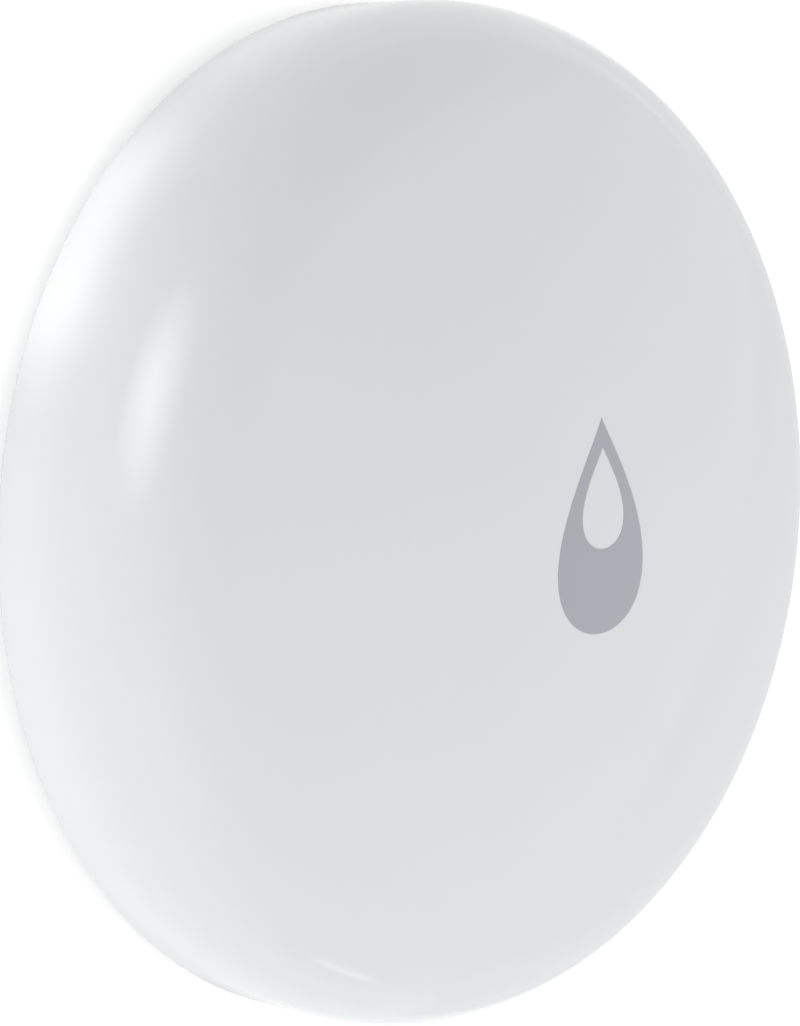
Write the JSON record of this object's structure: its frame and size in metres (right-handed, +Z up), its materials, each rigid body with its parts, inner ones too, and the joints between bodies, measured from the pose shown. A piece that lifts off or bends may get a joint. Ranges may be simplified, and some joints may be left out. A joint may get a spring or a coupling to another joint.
{
  "type": "water leak sensor",
  "caption": "Round white water leak sensor: domed cover pressed as a button, rear case with probe screws and coin-turned battery door, coin cell and circuit board inside.",
  "frame": {"origin": "on the floor plane of the feet, under the centre of the round body", "axes": "+Z up through the domed face, +Y towards the tip of the drop sign, the probes lie on the X axis"},
  "size_m": [0.05, 0.05, 0.015],
  "materials": {
    "cover_plastic": "gloss",
    "case_plastic": "satin",
    "clear_silicone": "satin",
    "black_rubber": "satin",
    "cell_steel": "satin",
    "cell_seal": "satin",
    "contact_metal": "satin",
    "board_laminate": "satin",
    "screw_steel": "satin",
    "switch_plastic": "matte",
    "led_resin": "gloss",
    "chip_resin": "matte",
    "ceramic": "satin",
    "copper": "satin",
    "brass": "satin"
  },
  "bodies": {
    "base": {"rear_case": "case_plastic", "case_seal": "clear_silicone", "cell_can": "cell_steel", "cell_cap": "cell_steel", "cell_gasket": "cell_seal", "positive_contacts": "contact_metal", "negative_contact": "contact_metal", "circuit_board": "board_laminate", "board_screws": "screw_steel", "switch_base": "switch_plastic", "switch_frame": "screw_steel", "switch_dome": "screw_steel", "switch_legs": "screw_steel", "indicator_led": "led_resin", "radio_chip": "chip_resin", "crystal": "screw_steel", "chip_capacitors": "ceramic", "chip_resistors": "chip_resin", "antenna_trace": "copper", "probe_screws": "screw_steel", "probe_seals": "black_rubber", "probe_posts": "brass"},
    "cover": {"front_cover": "cover_plastic"},
    "door": {"battery_door": "case_plastic", "door_o_ring": "black_rubber"},
    "plunger": {"switch_plunger": "switch_plastic"}
  },
  "joints": [
    {"name": "cover_press", "type": "slide", "parent": "base", "child": "cover", "axis": [0, 0, -1], "range_m": [0, 0.0003], "stiffness_N_per_m": 3000, "springref_m": -0.0003},
    {"name": "plunger_press", "type": "slide", "parent": "base", "child": "plunger", "axis": [0, 0, -1], "range_m": [0, 0.0003], "deforming": ["switch_dome"]},
    {"name": "door_turn", "type": "hinge", "parent": "base", "child": "door", "pos_m": [0, 0, 0.0014], "axis": [0, 0, -1], "range_deg": [0, 40]}
  ],
  "couplings": [
    {"joint": "plunger_press", "follows": "cover_press", "ratio": 1}
  ]
}
